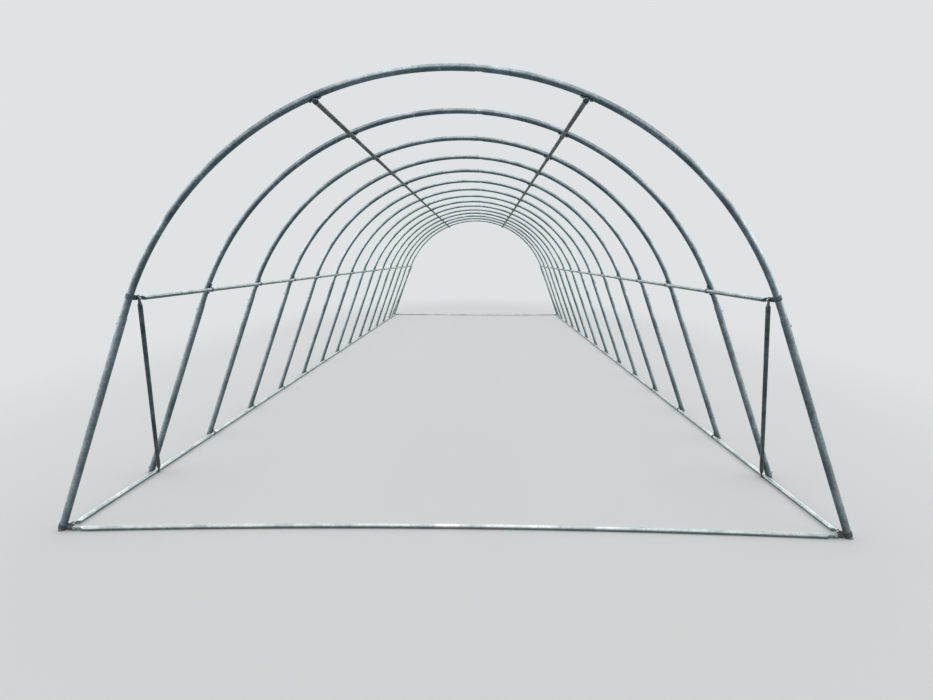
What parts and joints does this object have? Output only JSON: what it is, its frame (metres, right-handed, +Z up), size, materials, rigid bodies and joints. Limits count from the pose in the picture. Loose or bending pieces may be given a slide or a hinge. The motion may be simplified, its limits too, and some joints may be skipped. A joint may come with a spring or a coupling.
{
  "type": "polytunnel greenhouse frame",
  "caption": "Bare galvanised tube frame of a walk-in polytunnel greenhouse: leaning legs with round arches, side rails, roof purlins, base rails, corner braces and ground bars.",
  "frame": {"origin": "at ground level, in the middle of the plan", "axes": "+Y along the tunnel from the front hoop to the rear hoop, +X to the right seen from the front, +Z up"},
  "size_m": [4.505, 15.45, 2.5537],
  "materials": {
    "galvanised_tube": "dull hot-dip zinc, weathered",
    "galvanised_rail": "dull hot-dip zinc, a little brighter",
    "galvanised_strip": "dark dull zinc on bent strip"
  },
  "bodies": {
    "root": {"arch_01": "galvanised_tube", "arch_02": "galvanised_tube", "arch_03": "galvanised_tube", "arch_04": "galvanised_tube", "arch_05": "galvanised_tube", "arch_06": "galvanised_tube", "arch_07": "galvanised_tube", "arch_08": "galvanised_tube", "arch_09": "galvanised_tube", "arch_10": "galvanised_tube", "arch_11": "galvanised_tube", "arch_12": "galvanised_tube", "arch_13": "galvanised_tube", "arch_14": "galvanised_tube", "arch_15": "galvanised_tube", "left_legs": "galvanised_tube", "left_side_rail": "galvanised_rail", "left_base_rail": "galvanised_rail", "left_roof_purlin": "galvanised_rail", "left_side_rail_straps": "galvanised_strip", "left_purlin_straps": "galvanised_strip", "left_base_rail_hooks": "galvanised_strip", "right_legs": "galvanised_tube", "right_side_rail": "galvanised_rail", "right_base_rail": "galvanised_rail", "right_roof_purlin": "galvanised_rail", "right_side_rail_straps": "galvanised_strip", "right_purlin_straps": "galvanised_strip", "right_base_rail_hooks": "galvanised_strip", "front_ground_bar": "galvanised_rail", "front_left_brace": "galvanised_rail", "front_left_bands": "galvanised_strip", "front_right_brace": "galvanised_rail", "front_right_bands": "galvanised_strip", "rear_ground_bar": "galvanised_rail", "rear_left_brace": "galvanised_rail", "rear_left_bands": "galvanised_strip", "rear_right_brace": "galvanised_rail", "rear_right_bands": "galvanised_strip"}
  },
  "joints": []
}
